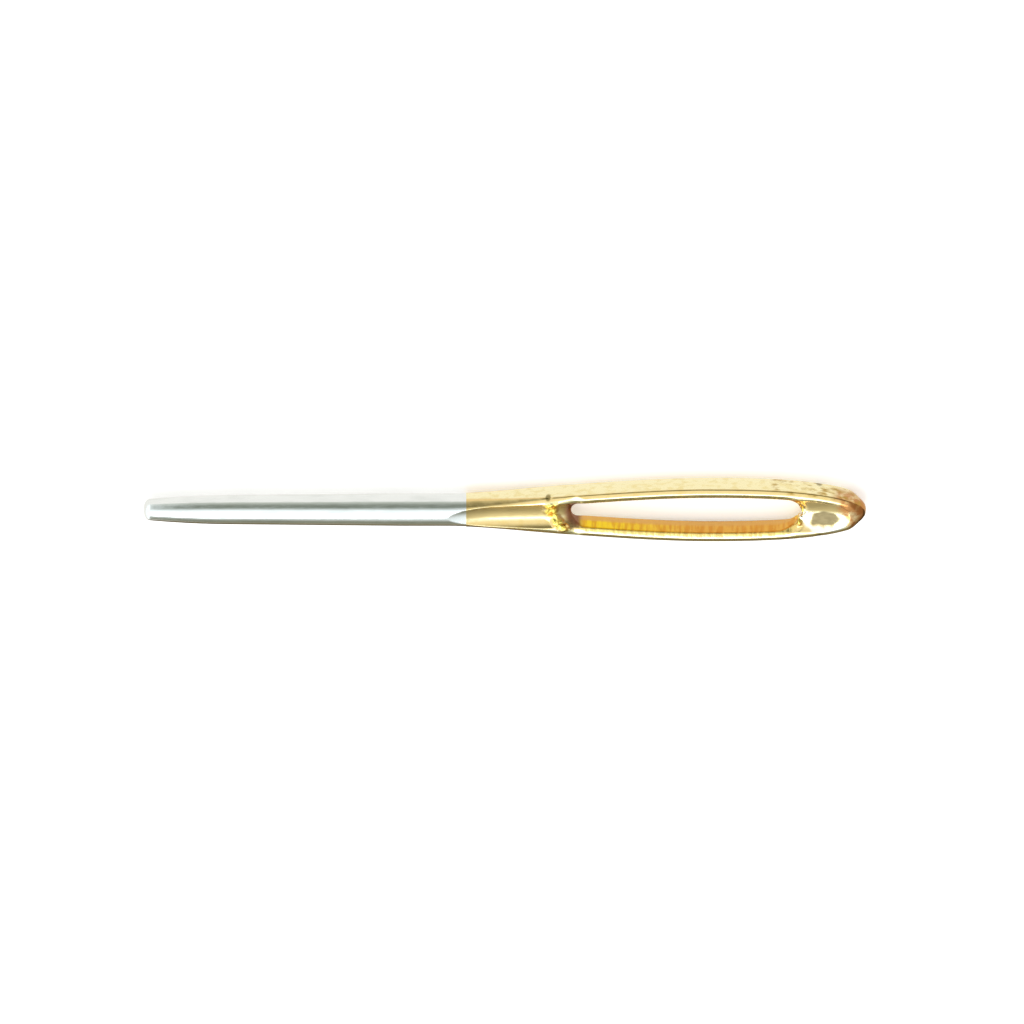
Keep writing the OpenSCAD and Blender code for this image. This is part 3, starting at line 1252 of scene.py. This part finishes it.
@dataclass(frozen=True)
class PaperFinish:
    """White paper, so brightly lit that only its deepest shadows show.

    The gloss of the needle sees the paper white on its near side and past the tip, and a painted
    shadow under its far side, darkest near the needle.
    """

    white: Colour = (255.0, 255.0, 255.0)
    colour: Colour = (250, 249, 246)
    lit: tuple[float, float, float, float] = (1.6, 1.6, 1.584, 1.0)
    lift: tuple[float, float, float, float] = (1.0, 0.99, 0.96, 1.0)
    lift_share: float = 0.3
    near: Colour = (255.0, 252.0, 246.0)
    # Painted shadow seen in the needle's gloss: far is its lighter outer part, under its darkest
    # part near the needle.
    far: Colour = (158, 148, 122)
    under: Colour = (96, 84, 58)
    far_y: tuple[float, float] = (-2.1, -1.3)
    under_y: tuple[float, float] = (-12.0, -6.0)
    tip_x: tuple[float, float] = (-30.0, -31.0)

    def material(self) -> bpy.types.Material:
        """Returns the finish as a material."""
        sheet = NodeSheet("white_paper")
        sheet.shader.inputs["Roughness"].default_value = 1.0
        sheet.shader.inputs["Specular IOR Level"].default_value = 0.0
        fibre = sheet.ramp(sheet.grain((1.0, 1.0, 1.0), 0.4, 4.0), 0.3, 0.7, 0.0, 1.0)
        paper = sheet.tinted(self.white, self.colour, fibre)
        sheet.links.new(paper, sheet.shader.inputs["Base Color"])
        path = sheet.nodes.new("ShaderNodeLightPath")
        bright = sheet.nodes.new("ShaderNodeBsdfDiffuse")
        bright.inputs["Color"].default_value = self.lit
        lift = sheet.nodes.new("ShaderNodeEmission")
        lift.inputs["Color"].default_value = self.lift
        eased = sheet.blended(bright, lift, self.lift_share)
        seen = sheet.blended(sheet.shader, eased, path.outputs["Is Camera Ray"])
        # Glossy rays see a painted shadow on the paper: dark beside the needle's far side, white
        # on its near side and past the tip.
        painted_gloss_shadow = sheet.nodes.new("ShaderNodeEmission")
        near = sheet.plus(
            sheet.ramp(sheet.axis("Y"), *self.far_y, 0.0, 1.0),
            sheet.ramp(sheet.axis("X"), *self.tip_x, 0.0, 1.0),
        )
        beyond = sheet.ramp(sheet.axis("Y"), *self.under_y, 0.0, 1.0)
        away = sheet.tinted(self.far, self.under, beyond)
        sheet.links.new(sheet.tinted(away, self.near, near), painted_gloss_shadow.inputs["Color"])
        whole = sheet.blended(seen, painted_gloss_shadow, path.outputs["Is Glossy Ray"])
        sheet.links.new(whole.outputs[0], sheet.output.inputs["Surface"])
        return sheet.material


@dataclass
class Needle:
    """The whole needle: its two coats round the frame's steel blank."""

    form: NeedleForm = field(default_factory=NeedleForm)
    nickel: NickelFinish = field(default_factory=NickelFinish)
    gold: GoldFinish = field(default_factory=GoldFinish)
    steel: SteelFinish = field(default_factory=SteelFinish)
    smooth_below: float = 40.0

    def build(self) -> list[bpy.types.Object]:
        """Builds and dresses the coats, and gives the blank its finish.

        Returns:
            The two new pieces.
        """
        nickel = NickelCoat(self.form).build()
        gold = GoldCoat(self.form).build()
        self._dress(nickel, self.nickel.material(), "nickel_plating")
        self._dress(gold, self.gold.material(), "gold_plating")
        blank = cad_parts["steel_blank"]
        for slot in blank.material_slots:
            slot.material = self.steel.material()
        return [nickel, gold]

    def _dress(
        self, coat: bpy.types.Object, finish: bpy.types.Material, node: str
    ) -> None:
        """Gives a coat its finish and its place in the frame.

        Args:
            coat: The new piece.
            finish: Its material.
            node: The frame's node that it stands for.
        """
        bpy.ops.object.select_all(action="DESELECT")
        coat.select_set(True)
        bpy.context.view_layer.objects.active = coat
        bpy.ops.object.shade_smooth_by_angle(angle=math.radians(self.smooth_below))
        coat.data.materials.clear()
        coat.data.materials.append(finish)
        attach(coat, "root")
        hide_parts(node)


@dataclass
class Studio:
    """White paper, an open white ceiling over dark walls, one soft lamp and the camera."""

    tilt: float = 33.0
    width: float = 85.03
    aim: tuple[float, float] = (0.602, -0.208)
    paper_z: float = -1.36
    overhead: tuple[float, float, float] = (1.16, 1.22, 1.22)
    near_wall: Colour = (132, 138, 126)
    horizon: Colour = (206, 209, 198)
    far_wall: Colour = (138, 138, 120)
    end_wall: Colour = (182, 164, 144)
    side_y: tuple[float, float] = (-0.4, 0.4)
    far_ceiling_z: tuple[float, float] = (0.35, 1.05)
    near_ceiling_z: tuple[float, float] = (0.67, 0.97)
    opening_x: tuple[float, float] = (-0.08, -0.3)
    horizon_z: tuple[float, float] = (0.55, -0.05)
    end_x: tuple[float, float] = (0.35, 0.7)
    ambient: float = 0.74
    lamp_strength: float = 0.26
    lamp_size: float = 0.4
    lamp_at: Point = (-0.12, -0.16, 0.55)
    paper_size: float = 2.4
    camera_away: float = 0.4

    def build(self) -> None:
        """Builds the setting."""
        self._paper()
        self._surroundings()
        self._lamp()
        self._camera()

    def _paper(self) -> None:
        """Lays the paper that the needle rests on."""
        bpy.ops.object.select_all(action="DESELECT")
        bpy.ops.mesh.primitive_plane_add(size=self.paper_size, location=(0, 0, self.paper_z * MM))
        paper = bpy.context.object
        paper.name = "paper"
        paper.data.materials.append(PaperFinish().material())

    def _surroundings(self) -> None:
        """Lights the needle evenly, and shows its gloss a white ceiling over dark walls.

        The room is open and white at the end that the tip points to.
        """
        world = bpy.data.worlds.new("surroundings")
        bpy.context.scene.world = world
        world.use_nodes = True
        tree = world.node_tree
        tree.nodes.clear()
        output = tree.nodes.new("ShaderNodeOutputWorld")
        light = tree.nodes.new("ShaderNodeBackground")
        tree.links.new(light.outputs[0], output.inputs["Surface"])
        split = tree.nodes.new("ShaderNodeSeparateXYZ")
        tree.links.new(tree.nodes.new("ShaderNodeTexCoord").outputs["Generated"], split.inputs[0])
        side = self._ranged(tree, split.outputs["Y"], *self.side_y)
        ceiling = self._ranged(tree, split.outputs["Z"], *self.far_ceiling_z)
        near = self._ranged(tree, split.outputs["Z"], *self.near_ceiling_z)
        ceiling = self._mixed(tree, ceiling, near, side)
        opening = self._ranged(tree, split.outputs["X"], *self.opening_x)
        white = tree.nodes.new("ShaderNodeMath")
        white.operation = "MAXIMUM"
        tree.links.new(ceiling, white.inputs[0])
        tree.links.new(opening, white.inputs[1])
        low = self._ranged(tree, split.outputs["Z"], *self.horizon_z)
        near_wall = self._mixed(tree, linear(self.near_wall), linear(self.horizon), low)
        walls = self._mixed(tree, linear(self.far_wall), near_wall, side)
        end = self._ranged(tree, split.outputs["X"], *self.end_x)
        walls = self._mixed(tree, walls, linear(self.end_wall), end)
        seen = self._mixed(tree, walls, (*self.overhead, 1.0), white.outputs[0])
        path = tree.nodes.new("ShaderNodeLightPath")
        even = (self.ambient, self.ambient, self.ambient, 1.0)
        gloss = self._mixed(tree, even, seen, path.outputs["Is Glossy Ray"])
        whole = self._mixed(tree, gloss, (1.0, 1.0, 1.0, 1.0), path.outputs["Is Camera Ray"])
        tree.links.new(whole, light.inputs["Color"])

    def _ranged(
        self, tree: bpy.types.NodeTree, source: bpy.types.NodeSocket, low: float, high: float
    ) -> bpy.types.NodeSocket:
        """Maps a value to 0 at low and 1 at high, with soft ends.

        Args:
            tree: The world's nodes.
            source: The value.
            low: Where the result is 0.
            high: Where it is 1.

        Returns:
            The mapped value.
        """
        node = tree.nodes.new("ShaderNodeMapRange")
        node.interpolation_type = "SMOOTHSTEP"
        node.inputs["From Min"].default_value = low
        node.inputs["From Max"].default_value = high
        tree.links.new(source, node.inputs["Value"])
        return node.outputs["Result"]

    def _mixed(
        self,
        tree: bpy.types.NodeTree,
        a: bpy.types.NodeSocket | Sequence[float],
        b: bpy.types.NodeSocket | Sequence[float],
        share: bpy.types.NodeSocket,
    ) -> bpy.types.NodeSocket:
        """Mixes two colours of the world.

        Args:
            tree: The world's nodes.
            a: The colour where the share is 0, or its socket.
            b: The colour where it is 1, or its socket.
            share: How much of b there is.

        Returns:
            The mixed colour.
        """
        node = tree.nodes.new("ShaderNodeMix")
        node.data_type = "RGBA"
        for name, colour in (("A", a), ("B", b)):
            if isinstance(colour, bpy.types.NodeSocket):
                tree.links.new(colour, node.inputs[name])
            else:
                node.inputs[name].default_value = colour
        tree.links.new(share, node.inputs["Factor"])
        return node.outputs["Result"]

    def _lamp(self) -> None:
        """Hangs a soft lamp over the needle's far side."""
        bpy.ops.object.light_add(type="AREA", location=self.lamp_at)
        lamp = bpy.context.object
        lamp.name = "soft_lamp"
        lamp.data.shape = "SQUARE"
        lamp.data.size = self.lamp_size
        away = lamp.location.length
        lamp.data.energy = self.lamp_strength * math.pi * 4.0 * away**2
        lamp.rotation_euler = lamp.location.to_track_quat("Z", "Y").to_euler()

    def _camera(self) -> None:
        """Sets the camera as the photograph was taken, and turned half round in its frame."""
        tilt = math.radians(self.tilt)
        right = Vector((1.0, 0.0, 0.0))
        up = Vector((0.0, math.cos(tilt), -math.sin(tilt)))
        back = Vector((0.0, math.sin(tilt), math.cos(tilt)))
        aim = (right * self.aim[0] + up * self.aim[1]) * MM
        data = bpy.data.cameras.new("camera")
        data.type = "ORTHO"
        data.ortho_scale = self.width * MM
        data.clip_start = 0.001
        camera = bpy.data.objects.new("camera", data)
        bpy.context.scene.collection.objects.link(camera)
        turn = Matrix((right, up, back)).transposed()
        camera.location = aim + back * self.camera_away
        camera.rotation_euler = turn.to_euler()
        bpy.context.scene.camera = camera


def main() -> None:
    """Builds the needle and its setting."""
    logging.basicConfig(level=logging.INFO, format="%(name)s: %(message)s")
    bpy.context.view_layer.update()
    bpy.context.scene.view_settings.view_transform = "Standard"
    for piece in Needle().build():
        LOG.info("%s: %d faces", piece.name, len(piece.data.polygons))
    Studio().build()


if __name__ == "__main__":
    main()
